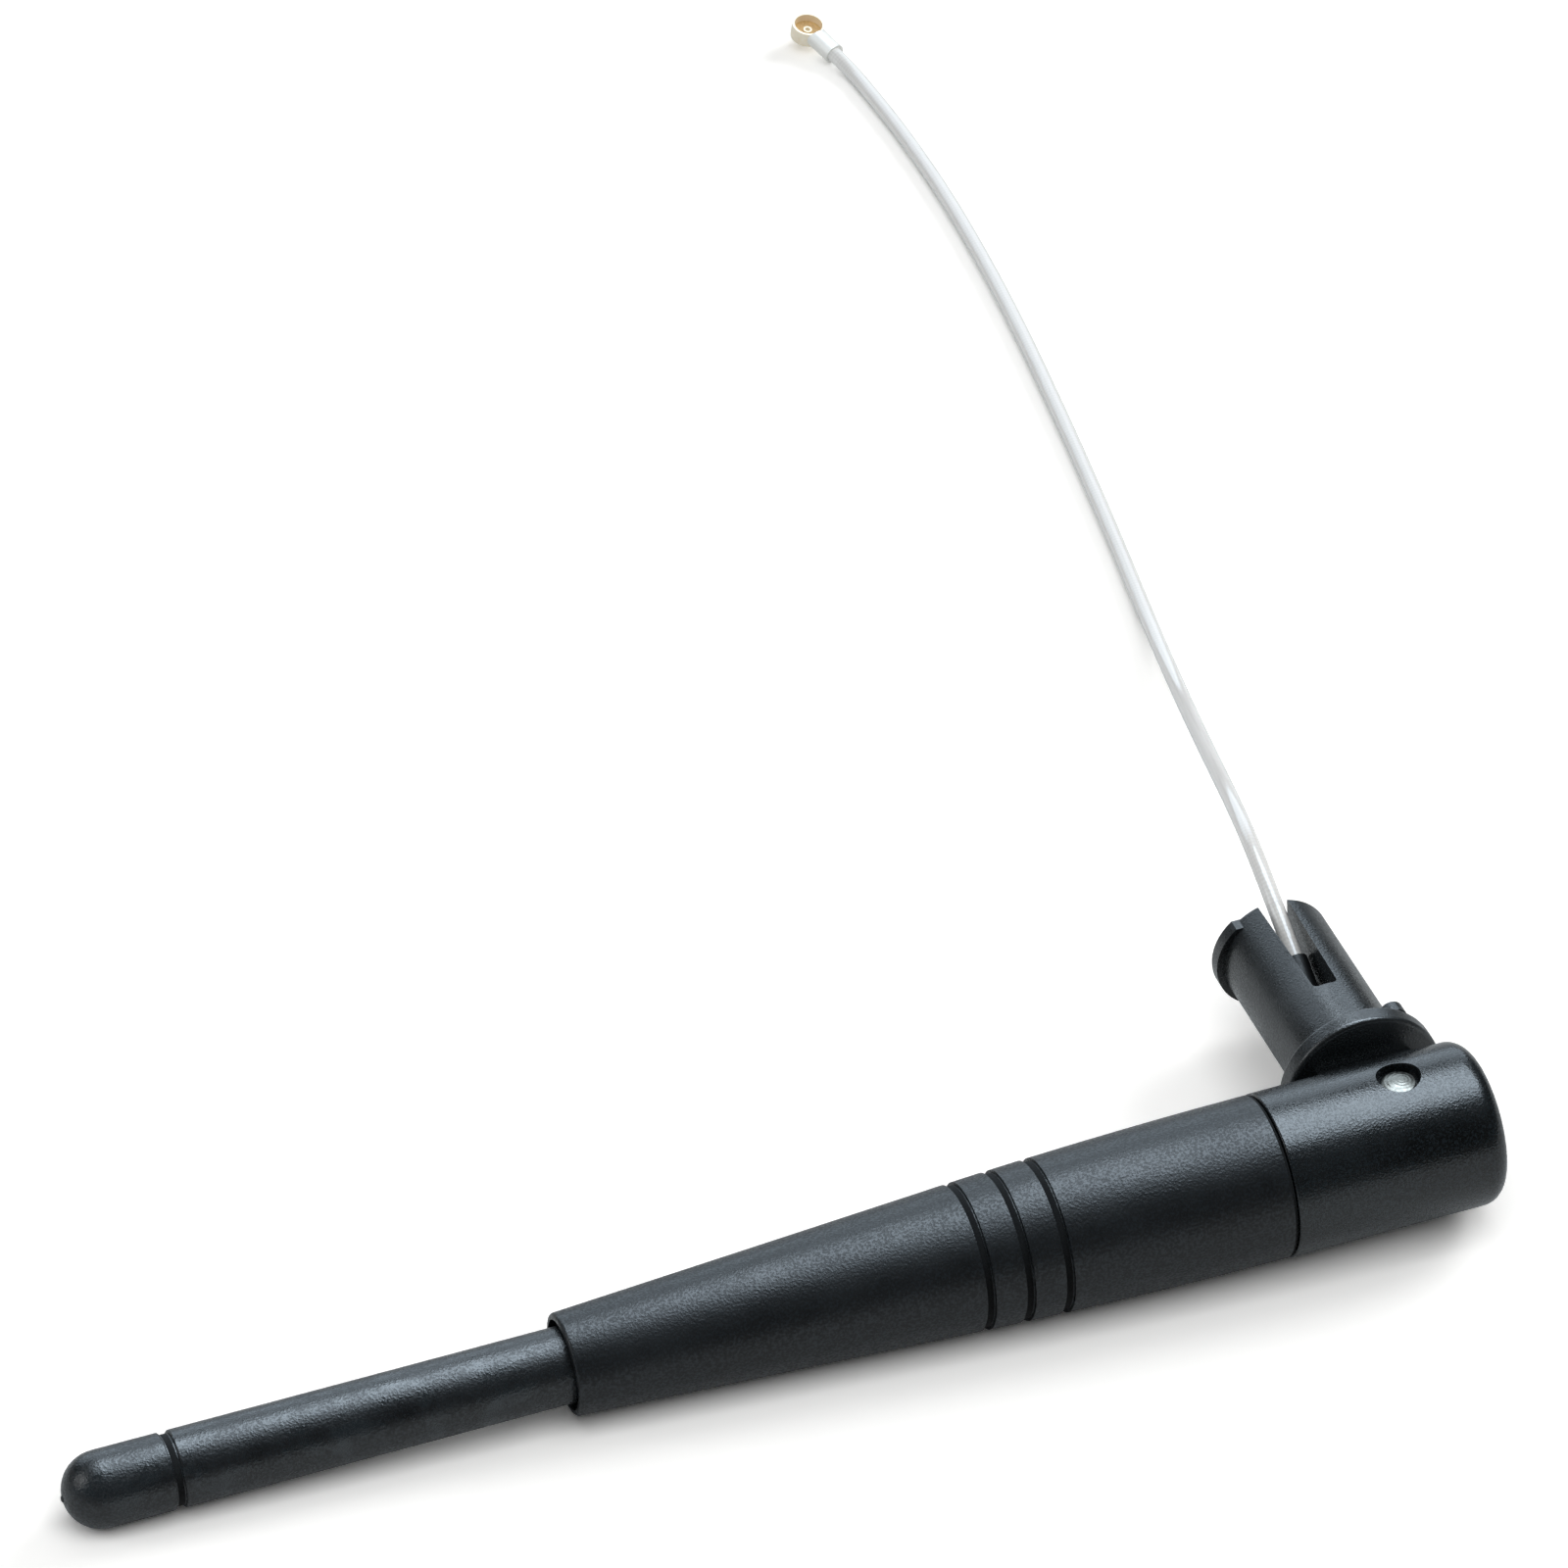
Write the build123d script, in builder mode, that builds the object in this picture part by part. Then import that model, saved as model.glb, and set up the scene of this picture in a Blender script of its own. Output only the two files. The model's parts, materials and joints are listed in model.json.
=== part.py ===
from build123d import *
from math import asin, atan2, cos, degrees, hypot, pi, radians, sin, sqrt, tan
import os

# Folding stick antenna with a snap-in base, a coax pigtail and a micro coax plug.
# Millimetres. The antenna lies on its side as it comes to rest: the rod runs along X with
# its tip at low X, the hinge pin stands nearly upright and the mounting post points to +Y.
# Lengths along the rod are stations, measured from the hinge pin towards the tip.

# Knuckle at the hinge
knuckle_d = 13.0
knuckle_end = 6.8
knuckle_edge_r = 1.6
parting_station = 10.8
parting_edge_r = 0.15
spigot_d = 9.8
spigot_length = 6.0
cable_bore_d = 3.0

# Grip sleeve
parting_step = 0.05
parting_gap = 0.12
cone_end_d = 11.47
cone_end_station = 36.5
nose_d = 8.02
nose_station = 68.0
nose_edge_r = 0.3
nose_gap = 0.55
nose_recess = 1.4
sleeve_cavity_d = 8.2
cavity_end_station = 42.5
ring_count = 3
ring_first_station = 29.33
ring_pitch = 3.15
ring_width = 0.75
ring_depth = 0.22

# Thin shaft that covers the radiator
shaft_d = 5.98
shaft_bore_d = 4.6
tip_clearance = 3.45
tip_wall = 1.4
tip_ring_inset = 8.48
tip_ring_width = 0.72
tip_ring_depth = 0.22
tip_ring_edge_r = 0.12
collar_d = 7.9
collar_length = 1.5

# Hinge
pin_d = 2.6
pin_recess = 0.45
pin_dome = 0.22
pin_sink_d = 3.5
pin_sink_depth = 1.0
cheek_share = 0.3
cheek_thickness = 1.15
channel_height = 2.9

# Snap-in base
flange_d = 13.0
flange_station = 7.1
flange_thickness = 1.7
flange_edge_r = 0.35
post_d = 9.2
post_end = 26.1
post_edge_r = 0.2
post_bore_d = 3.6
slot_width = 2.0
slot_mouth = 2.5
slot_length = 11.3
slot_corner_r = 0.45
lip_proud = 0.6
lip_thickness = 1.1
lip_height = 7.2
key_d = 2.0
key_height = 1.1
key_inset = 1.0
key_angle = 52.0

# Coax and what it feeds
coax_d = 1.37
core_d = 0.9
core_step = 1.6
bend_r = 6.0
rise_station = 17.5
exit_lift = 4.0
exit_side = 0.25
radiator_d = 1.4
radiator_length = 27.0
feed_station = 74.5
bead_d = 4.2
bead_length = 2.4
choke_d = 4.2
choke_wall = 0.25
choke_length = 27.5
solder_length = 0.8
choke_collar_length = 2.0
tip_collar_length = 2.0
shrink_wall = 0.35
shrink_length = 12.0
stop_d = 4.2
stop_length = 2.4

# Micro coax plug
shell_d = 3.0
shell_wall = 0.22
shell_height = 1.55
insulator_height = 0.55
contact_d = 0.8
contact_bore_d = 0.45
contact_height = 0.7
ferrule_wall = 0.28
ferrule_length = 2.2
ferrule_gap = 0.25

# Clearances
running_gap = 0.05
side_gap = 0.2
swing_gap = 0.25
slip_gap = 0.08

# Route of the free coax after the post, chosen by eye, in the antenna's lying frame
bend_share = 0.45
exit_run = 5.0
route_rest = [
    (51.7, 29.1, 12.1),
    (53.65, 38.0, 9.2),
    (55.85, 47.0, 5.75),
    (58.1, 57.0, 2.6),
    (60.0, 68.0, 0.95),
    (62.0, 82.0, 0.7),
    (64.15, 100.0, 0.7),
    (65.95, 118.0, 0.7),
    (66.85, 134.0, 0.7),
    (66.8, 146.0, 0.7),
    (66.35, 154.0, 0.7),
    (65.85, 159.3, 0.75),
    (64.56, 162.98, 1.6),
]

# Sizes that follow others
sleeve_root_d = knuckle_d - 2 * parting_step
cheek_r = cheek_share * flange_d
key_radius = flange_d / 2 - key_inset
radiator_start = feed_station + bead_length
radiator_stop = radiator_start + radiator_length
tip_station = radiator_stop + tip_clearance
tip_ring_station = tip_station - tip_ring_inset

# The rear of the sleeve is one shallow arc that leaves the cone without a corner
cone_slope = atan2((cone_end_d - nose_d) / 2, nose_station - cone_end_station)
sleeve_start = parting_station + parting_gap
arc_run = cone_end_station - sleeve_start
arc_rise = (sleeve_root_d - cone_end_d) / 2
arc_turn = cone_slope - atan2(arc_rise, arc_run)
arc_r = hypot(arc_run, arc_rise) / (2 * sin(arc_turn))
arc_x = -cone_end_station + arc_r * sin(cone_slope)
arc_y = cone_end_d / 2 - arc_r * cos(cone_slope)

# The antenna rests on its tip and on the crest of that arc, which sets how it lies
shaft_r = shaft_d / 2
tip_centre = tip_station - shaft_r
crest_run = arc_x + tip_centre
crest_span = hypot(crest_run, arc_y)
lie_angle = degrees(atan2(arc_y, crest_run) - asin((shaft_r - arc_r) / crest_span))
hinge_height = tip_centre * sin(radians(lie_angle)) + shaft_r

# The origin is under the middle of the antenna without its pigtail
end_ring_r = knuckle_d / 2 - knuckle_edge_r
reach_x = (
    (knuckle_end - knuckle_edge_r) * cos(radians(lie_angle))
    + end_ring_r * sin(radians(lie_angle))
    + knuckle_edge_r
)
tip_x = tip_centre * cos(radians(lie_angle)) + shaft_r
hinge_x = (tip_x - reach_x) / 2
hinge_y = (knuckle_d / 2 - post_end) / 2

hinge_seat = Location((hinge_x, hinge_y, hinge_height), (0, -lie_angle, 0))
lying = Plane(hinge_seat)
upright = Plane(lying.origin, x_dir=lying.x_dir, z_dir=-lying.y_dir)
rod_axis = Axis(lying.origin, lying.x_dir)
post_axis = Axis(lying.origin, lying.y_dir)


def across_post(station):
    """A plane square to the post, facing its free end, at a distance from the pin."""
    centre = lying.origin + lying.y_dir * station
    return Plane(centre, x_dir=lying.x_dir, z_dir=lying.y_dir)


def across_rod(station):
    """A plane square to the rod, facing the tip, at a distance from the pin."""
    centre = lying.origin - lying.x_dir * station
    return Plane(centre, x_dir=lying.y_dir, z_dir=-lying.x_dir)


def above_pin(height):
    """A plane square to the pin at a height over the rod's axis."""
    centre = lying.origin + lying.z_dir * height
    return Plane(centre, x_dir=lying.x_dir, z_dir=lying.z_dir)


def sleeve_r(station):
    """Outer radius of the rear arc of the sleeve at a station."""
    return arc_y + arc_r * sqrt(1 - ((station + arc_x) / arc_r) ** 2)


def tube(start, length, outer_d, inner_d=0):
    """A round tube or rod on the rod's axis, from a station towards the tip."""
    with BuildPart() as piece:
        with BuildSketch(across_rod(start)):
            Circle(outer_d / 2)
            if inner_d:
                Circle(inner_d / 2, mode=Mode.SUBTRACT)
        extrude(amount=length)
    return piece


def save(piece, name):
    """Labels a finished piece and writes it out."""
    piece.part.label = name
    export_step(piece.part, f"parts/{name}.step")


os.makedirs("parts", exist_ok=True)

slot_half = channel_height / 2 + cheek_thickness + side_gap
slot_r = cheek_r + 2 * side_gap
spigot_end = parting_station + spigot_length

# Knuckle: a round housing with a spigot, a cable bore and a slot that takes the hinge cheeks
with BuildPart() as knuckle_housing:
    with BuildSketch(lying):
        with BuildLine():
            Polyline(
                (-spigot_end, cable_bore_d / 2),
                (-spigot_end, spigot_d / 2 - slip_gap),
                (-parting_station, spigot_d / 2 - slip_gap),
                (-parting_station, knuckle_d / 2),
                (knuckle_end - knuckle_edge_r, knuckle_d / 2),
            )
            RadiusArc(
                (knuckle_end - knuckle_edge_r, knuckle_d / 2),
                (knuckle_end, end_ring_r),
                knuckle_edge_r,
            )
            Polyline(
                (knuckle_end, end_ring_r),
                (knuckle_end, 0),
                (-slot_r, 0),
                (-slot_r, cable_bore_d / 2),
                (-spigot_end, cable_bore_d / 2),
            )
        make_face()
    revolve(axis=rod_axis)
    fillet(knuckle_housing.edges().filter_by(GeomType.CIRCLE).filter_by(
        lambda edge: abs(edge.radius - knuckle_d / 2) < 1e-6).sort_by(rod_axis)[0], parting_edge_r)
    with BuildSketch(lying):
        with BuildLine():
            Polyline(
                (0, -slot_r),
                (knuckle_d, -slot_r),
                (knuckle_d, knuckle_d),
                (-slot_r, knuckle_d),
                (-slot_r, 0),
            )
            RadiusArc((-slot_r, 0), (0, -slot_r), -slot_r)
        make_face()
    extrude(amount=slot_half, both=True, mode=Mode.SUBTRACT)
    with BuildSketch(lying):
        with Locations((knuckle_d / 2, knuckle_d / 2)):
            Rectangle(knuckle_d, knuckle_d)
        Circle(flange_station - swing_gap, mode=Mode.SUBTRACT)
    extrude(amount=knuckle_d, both=True, mode=Mode.SUBTRACT)
    with BuildSketch(lying):
        Circle(pin_d / 2)
    extrude(amount=knuckle_d, both=True, mode=Mode.SUBTRACT)
    for side in (1, -1):
        with BuildSketch(above_pin(side * (knuckle_d / 2 - pin_sink_depth))):
            Circle(pin_sink_d / 2)
        extrude(amount=side * knuckle_d, mode=Mode.SUBTRACT)
save(knuckle_housing, "knuckle_housing")


def hinge_pin(side):
    """A short domed pin, pressed into one wall of the knuckle and running in one cheek."""
    inner = side * channel_height / 2
    outer = side * (knuckle_d / 2 - pin_recess - pin_dome)
    crown = side * (knuckle_d / 2 - pin_recess)
    dome_r = ((pin_d / 2) ** 2 + pin_dome**2) / (2 * pin_dome)
    with BuildPart() as piece:
        with BuildSketch(upright):
            with BuildLine():
                Polyline((0, crown), (0, inner), (pin_d / 2, inner), (pin_d / 2, outer))
                RadiusArc((pin_d / 2, outer), (0, crown), -side * dome_r)
            make_face()
        revolve(axis=Axis(lying.origin, lying.z_dir))
    return piece


hinge_pin_upper = hinge_pin(1)
save(hinge_pin_upper, "hinge_pin_upper")
hinge_pin_lower = hinge_pin(-1)
save(hinge_pin_lower, "hinge_pin_lower")

# Snap-in base: two hinge cheeks, a flange, and a split post with a hooked lip on one finger
flange_face = flange_station + flange_thickness
cheek_height = channel_height / 2 + cheek_thickness
with BuildPart() as snap_base:
    with BuildSketch(lying):
        Circle(cheek_r)
        with Locations((0, flange_station / 2)):
            Rectangle(2 * cheek_r, flange_station)
    extrude(amount=cheek_height, both=True)
    with BuildSketch(lying):
        with Locations((0, flange_station / 2 - cheek_r / 2)):
            Rectangle(4 * cheek_r, flange_station + cheek_r)
    extrude(amount=channel_height / 2, both=True, mode=Mode.SUBTRACT)
    with BuildSketch(lying):
        Circle(pin_d / 2 + running_gap)
    extrude(amount=2 * cheek_height, both=True, mode=Mode.SUBTRACT)
    with BuildSketch(across_post(flange_station)):
        Circle(flange_d / 2)
    extrude(amount=flange_thickness)
    fillet(snap_base.edges().filter_by(GeomType.CIRCLE).filter_by(
        lambda edge: abs(edge.radius - flange_d / 2) < 1e-6), flange_edge_r)
    with BuildSketch(across_post(flange_face)):
        Circle(post_d / 2)
    extrude(amount=post_end - flange_face)
    fillet(snap_base.edges().filter_by(GeomType.CIRCLE).sort_by(post_axis)[-1], post_edge_r)
    with BuildSketch(across_post(flange_face)):
        with Locations(
            Location((key_radius * cos(radians(key_angle)), -key_radius * sin(radians(key_angle))))
        ):
            Circle(key_d / 2)
    extrude(amount=key_height)
    with BuildSketch(across_post(post_end - lip_thickness)):
        with Locations((-lip_proud, 0)):
            Circle(post_d / 2)
        with Locations((post_d / 2 - slot_width / 2, 0)):
            Rectangle(post_d, 2 * post_d, mode=Mode.SUBTRACT)
        Rectangle(3 * post_d, lip_height, mode=Mode.INTERSECT)
    extrude(amount=lip_thickness)
    with BuildSketch(across_post(flange_station)):
        Circle(post_bore_d / 2)
    extrude(amount=post_end, mode=Mode.SUBTRACT)
    with BuildSketch(lying):
        with BuildLine():
            Polyline(
                (-slot_mouth / 2, post_end),
                (-slot_width / 2, post_end - slot_length),
                (slot_width / 2, post_end - slot_length),
                (slot_mouth / 2, post_end),
                close=True,
            )
        slot_face = make_face()
        fillet(slot_face.vertices().group_by(Axis.Y)[0], slot_corner_r)
    extrude(amount=post_d, both=True, mode=Mode.SUBTRACT)
save(snap_base, "snap_base")

# Grip sleeve: a cone that runs into a shallow arc, three rings, and a stepped bore
with BuildPart() as grip_sleeve:
    with BuildSketch(lying):
        with BuildLine():
            Line((-nose_station, nose_d / 2), (-cone_end_station, cone_end_d / 2))
            RadiusArc(
                (-cone_end_station, cone_end_d / 2),
                (-sleeve_start, sleeve_root_d / 2),
                arc_r,
            )
            Polyline(
                (-sleeve_start, sleeve_root_d / 2),
                (-sleeve_start, spigot_d / 2),
                (-spigot_end - slip_gap, spigot_d / 2),
                (-spigot_end - slip_gap, sleeve_cavity_d / 2),
                (-cavity_end_station, sleeve_cavity_d / 2),
                (-cavity_end_station, shaft_r + slip_gap),
                (-nose_station + nose_recess, shaft_r + slip_gap),
                (-nose_station + nose_recess, shaft_r + nose_gap),
                (-nose_station, shaft_r + nose_gap),
                (-nose_station, nose_d / 2),
            )
        make_face()
    revolve(axis=rod_axis)
    nose_edges = grip_sleeve.edges().filter_by(GeomType.CIRCLE).group_by(rod_axis)[0]
    fillet(nose_edges.sort_by(SortBy.RADIUS)[-1], nose_edge_r)
    root_edges = grip_sleeve.edges().filter_by(GeomType.CIRCLE).group_by(rod_axis)[-1]
    fillet(root_edges.sort_by(SortBy.RADIUS)[-1], parting_edge_r)
    for index in range(ring_count):
        station = ring_first_station + index * ring_pitch
        with BuildSketch(lying):
            with Locations((-station, sleeve_r(station))):
                Rectangle(ring_width, 2 * ring_depth)
        revolve(axis=rod_axis, mode=Mode.SUBTRACT)
save(grip_sleeve, "grip_sleeve")

# Thin closed tube over the radiator, with a domed tip, a ring and a collar inside the sleeve
shaft_root = cavity_end_station - collar_length - slip_gap
with BuildPart() as radome_tube:
    with BuildSketch(lying):
        with BuildLine():
            Line((-shaft_root, shaft_bore_d / 2), (-tip_centre, shaft_bore_d / 2))
            Polyline(
                (-tip_centre, shaft_bore_d / 2),
                (-tip_station + tip_wall, shaft_bore_d / 2 - tip_wall),
                (-tip_station + tip_wall, 0),
                (-tip_station, 0),
            )
            RadiusArc((-tip_station, 0), (-tip_centre, shaft_r), shaft_r)
            Polyline(
                (-tip_centre, shaft_r),
                (-cavity_end_station + slip_gap, shaft_r),
                (-cavity_end_station + slip_gap, collar_d / 2),
                (-shaft_root, collar_d / 2),
                (-shaft_root, shaft_bore_d / 2),
            )
        make_face()
    revolve(axis=rod_axis)
    with BuildSketch(lying):
        with Locations((-tip_ring_station, shaft_r)):
            Rectangle(tip_ring_width, 2 * tip_ring_depth)
    revolve(axis=rod_axis, mode=Mode.SUBTRACT)
    fillet(radome_tube.edges(Select.LAST).filter_by(GeomType.CIRCLE).filter_by(
        lambda edge: abs(edge.radius - shaft_r) < 1e-6), tip_ring_edge_r)
save(radome_tube, "radome_tube")

# Feed: bead, choke sleeve, solder, bared core and radiator, in order from the feed point
bead = tube(feed_station, bead_length, bead_d, core_d)
save(bead, "feed_bead")
choke_start = feed_station - choke_length
choke = tube(choke_start, choke_length, choke_d, choke_d - 2 * choke_wall)
save(choke, "choke_sleeve")
solder = tube(feed_station - solder_length, solder_length, choke_d - 2 * choke_wall, coax_d)
save(solder, "braid_solder")
core = tube(feed_station, core_step, core_d)
save(core, "coax_core")

with BuildPart() as radiator_rod:
    with BuildSketch(across_rod(radiator_start)):
        Circle(radiator_d / 2)
    extrude(amount=radiator_length)
    with BuildSketch(across_rod(feed_station + core_step)):
        Circle(core_d / 2)
    extrude(amount=bead_length - core_step)
    chamfer(radiator_rod.edges().filter_by(GeomType.CIRCLE).sort_by(rod_axis)[0], 0.2)
save(radiator_rod, "radiator_rod")

tip_collar_start = radiator_stop - 2 * tip_collar_length
tip_collar = tube(tip_collar_start, tip_collar_length, shaft_bore_d - 2 * slip_gap, radiator_d)
save(tip_collar, "tip_collar")
choke_collar = tube(
    choke_start, choke_collar_length, choke_d - 2 * choke_wall - slip_gap, coax_d + slip_gap
)
save(choke_collar, "choke_collar")

# Crimped stop that keeps a pull on the pigtail off the feed, and its heat-shrink tube
stop = tube(spigot_end + slip_gap, stop_length, stop_d, coax_d)
save(stop, "cable_stop")
shrink_start = spigot_end + slip_gap + stop_length
shrink = tube(shrink_start, shrink_length, coax_d + 2 * shrink_wall, coax_d)
save(shrink, "heat_shrink")

# Coax, in the pieces that the hinge divides it into
whip_coax = tube(bend_r, feed_station - bend_r, coax_d)
save(whip_coax, "cable_in_whip")

with BuildPart() as hinge_coax:
    with BuildLine(lying) as hinge_line:
        RadiusArc((-bend_r, 0), (0, bend_r), -bend_r)
    with BuildSketch(across_rod(bend_r)):
        Circle(coax_d / 2)
    sweep(path=hinge_line.line)
save(hinge_coax, "cable_hinge_bend")

rise_points = [(0, bend_r, 0), (0, rise_station, 0), (exit_side, post_end, exit_lift)]
rise_turn = atan2(hypot(exit_side, exit_lift), post_end - rise_station)
rise_r = bend_share * (rise_station - bend_r) / tan(rise_turn / 2)
with BuildPart() as base_coax:
    with BuildLine() as base_line:
        FilletPolyline(*[lying.from_local_coords(Vector(*p)) for p in rise_points], radius=rise_r)
    with BuildSketch(across_post(bend_r)):
        Circle(coax_d / 2)
    sweep(path=base_line.line)
save(base_coax, "cable_in_base")


def corner_radii(points):
    """A radius for each corner: a share of the shorter run over the half turn's tangent."""
    radii = []
    for before, corner, after in zip(points, points[1:], points[2:]):
        run_in = corner - before
        run_out = after - corner
        turn = radians(run_in.get_angle(run_out))
        radii.append(bend_share * min(run_in.length, run_out.length) / tan(turn / 2))
    return radii


coax_exit, coax_rise = (lying.from_local_coords(Vector(*p)) for p in (rise_points[-1], rise_points[-2]))
exit_dir = (coax_exit - coax_rise).normalized()
route = [coax_exit, coax_exit + exit_dir * exit_run] + [Vector(*point) for point in route_rest]
radii = corner_radii(route)
with BuildPart() as pigtail:
    with BuildLine() as pigtail_line:
        FilletPolyline(*route, radius=radii)
    with BuildSketch(Plane(coax_exit, z_dir=pigtail_line.line % 0)):
        Circle(coax_d / 2)
    sweep(path=pigtail_line.line)
save(pigtail, "pigtail_cable")

# Plug: a cup that opens upwards, its insulator and contact, and the ferrule on the coax
cable_end = route[-1]
plug_dir = (route[-1] - route[-2]).normalized()
shell_centre = cable_end + plug_dir * (ferrule_gap + shell_d / 2)
ferrule_d = coax_d + 2 * ferrule_wall
plug_up = plug_dir.cross(Vector(0, 0, 1)).cross(plug_dir)
plug_plane = Plane(shell_centre, x_dir=plug_dir, z_dir=plug_up).offset(-ferrule_d / 2)


def plug_level(height):
    """A plane square to the plug's cup, at a height over its closed side."""
    return plug_plane.offset(height)


with BuildPart() as plug_shell:
    with BuildSketch(plug_level(0)):
        Circle(shell_d / 2)
    extrude(amount=shell_height)
    with BuildSketch(plug_level(shell_wall)):
        Circle(shell_d / 2 - shell_wall)
    extrude(amount=shell_height, mode=Mode.SUBTRACT)
    fillet(plug_shell.edges().group_by(Axis(plug_plane.origin, plug_plane.z_dir))[0], shell_wall * 0.9)
save(plug_shell, "plug_shell")

with BuildPart() as plug_insulator:
    with BuildSketch(plug_level(shell_wall)):
        Circle(shell_d / 2 - shell_wall)
        Circle(contact_d / 2, mode=Mode.SUBTRACT)
    extrude(amount=insulator_height)
save(plug_insulator, "plug_insulator")

with BuildPart() as plug_contact:
    with BuildSketch(plug_level(shell_wall)):
        Circle(contact_d / 2)
    extrude(amount=contact_height)
    with BuildSketch(plug_level(shell_wall + contact_height)):
        Circle(contact_bore_d / 2)
    extrude(amount=-contact_height * 0.7, mode=Mode.SUBTRACT)
save(plug_contact, "plug_contact")

with BuildPart() as plug_crimp:
    with BuildSketch(Plane(cable_end - plug_dir * ferrule_length, z_dir=plug_dir)):
        Circle(ferrule_d / 2)
    extrude(amount=ferrule_length + ferrule_gap + shell_d / 2)
    with BuildSketch(Plane(cable_end, z_dir=plug_dir)):
        Circle(coax_d / 2)
    extrude(amount=-2 * ferrule_length, mode=Mode.SUBTRACT)
    with BuildSketch(plug_level(-shell_height)):
        Circle(shell_d / 2)
    extrude(amount=3 * shell_height, mode=Mode.SUBTRACT)
save(plug_crimp, "plug_crimp")

print("lie angle", round(lie_angle, 3), "hinge height", round(hinge_height, 3))
print("hinge at", [round(v, 3) for v in lying.origin])
print("corner radii", [round(r, 1) for r in radii], "base", round(rise_r, 1))
length = sum(edge.length for edge in pigtail_line.edges())
print("pigtail length", round(length, 2), "volume ratio",
      round(pigtail.part.volume / (length * pi * coax_d**2 / 4), 4))
print("exit", [round(v, 3) for v in coax_exit], "shell", [round(v, 3) for v in shell_centre])
mouth = plug_level(shell_height)
print("plug mouth", [round(v, 3) for v in mouth.origin], [round(v, 6) for v in mouth.z_dir])
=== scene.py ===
"""A folding wifi antenna lying on a pale table: finishes, coax lead, micro plug and studio."""

import json
import logging
import math
from dataclasses import dataclass
from enum import Enum
from typing import Any, Iterable, Sequence

import bpy
from mathutils import Matrix, Vector


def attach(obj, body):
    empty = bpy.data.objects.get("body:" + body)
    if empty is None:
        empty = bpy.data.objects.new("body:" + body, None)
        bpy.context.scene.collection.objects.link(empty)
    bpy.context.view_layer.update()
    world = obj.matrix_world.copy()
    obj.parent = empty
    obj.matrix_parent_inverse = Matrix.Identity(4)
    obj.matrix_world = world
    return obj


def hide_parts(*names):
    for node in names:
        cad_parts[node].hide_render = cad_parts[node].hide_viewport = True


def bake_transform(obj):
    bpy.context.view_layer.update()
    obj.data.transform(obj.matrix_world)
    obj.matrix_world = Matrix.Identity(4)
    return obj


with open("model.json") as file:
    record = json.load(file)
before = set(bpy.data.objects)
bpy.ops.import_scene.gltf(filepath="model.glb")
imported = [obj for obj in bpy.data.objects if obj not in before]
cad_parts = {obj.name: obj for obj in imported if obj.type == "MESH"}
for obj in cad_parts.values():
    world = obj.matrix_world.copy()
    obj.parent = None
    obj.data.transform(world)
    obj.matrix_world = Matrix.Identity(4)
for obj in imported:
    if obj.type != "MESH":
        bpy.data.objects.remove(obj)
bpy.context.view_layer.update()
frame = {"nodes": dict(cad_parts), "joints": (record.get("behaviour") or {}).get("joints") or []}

MM = 0.001
LOG = logging.getLogger("antenna")

WHITE = "#ffffff"
ABS_IOR = 1.54
FEP_IOR = 1.34
WET_COAT_IOR = 1.45
# A ring wave of scale one makes 20 / tau rings in a metre.
RING_WAVE_SCALE = math.tau / 20
# Profile points nearer to a lathe's axis than this are on it, in metres.
ON_AXIS = 1e-7


class Body(str, Enum):
    """The two bodies that the hinge pin joins."""

    BASE = "base"
    WHIP = "whip"


class Reach(Enum):
    """What a lamp is seen by."""

    ALL = "all"
    SHEEN = "sheen"
    SHADE = "shade"


# Nodes and colours


def linear(colour: str, alpha: float = 1.0) -> tuple[float, float, float, float]:
    """Turns an sRGB hex colour to linear.

    Args:
        colour: Six hex digits after a hash.
        alpha: Opacity of the colour.

    Returns:
        Linear red, green, blue and alpha.
    """
    parts = [int(colour[i:i + 2], 16) / 255 for i in (1, 3, 5)]
    rgb = [c / 12.92 if c <= 0.04045 else ((c + 0.055) / 1.055) ** 2.4 for c in parts]
    return (rgb[0], rgb[1], rgb[2], alpha)


def add_node(
    tree: bpy.types.NodeTree,
    kind: str,
    settings: dict[str, Any] | None = None,
    inputs: dict[str | int, Any] | None = None,
) -> bpy.types.Node:
    """Adds a node with its settings and what goes into its sockets.

    Args:
        tree: The node tree.
        kind: Blender's name of the node type.
        settings: Values of the node's own properties.
        inputs: For each socket, by name or number, a value or the socket that feeds it.

    Returns:
        The new node.
    """
    node = tree.nodes.new(kind)
    for name, value in (settings or {}).items():
        setattr(node, name, value)
    for name, value in (inputs or {}).items():
        if isinstance(value, bpy.types.NodeSocket):
            tree.links.new(value, node.inputs[name])
        else:
            node.inputs[name].default_value = value
    return node


def remap(
    tree: bpy.types.NodeTree, value: bpy.types.NodeSocket,
    source: tuple[float, float] = (0.0, 1.0), target: tuple[float, float] = (0.0, 1.0),
) -> bpy.types.NodeSocket:
    """Carries a value from one range to another and holds it at the ends.

    Args:
        tree: The node tree.
        value: What is carried over.
        source: The range it comes from.
        target: The range it goes to.

    Returns:
        The new value.
    """
    return add_node(tree, "ShaderNodeMapRange", inputs={
        "Value": value, "From Min": source[0], "From Max": source[1],
        "To Min": target[0], "To Max": target[1]}).outputs[0]


def mix_colour(
    tree: bpy.types.NodeTree, share: bpy.types.NodeSocket, first: Any, second: Any,
) -> bpy.types.NodeSocket:
    """Mixes two colours.

    Args:
        tree: The node tree.
        share: How much of the second colour there is, from 0 to 1.
        first: A linear colour or its socket.
        second: The same for the other colour.

    Returns:
        The mixed colour.
    """
    return add_node(tree, "ShaderNodeMix", {"data_type": "RGBA"}, {
        0: share, 6: first, 7: second}).outputs[2]


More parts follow.
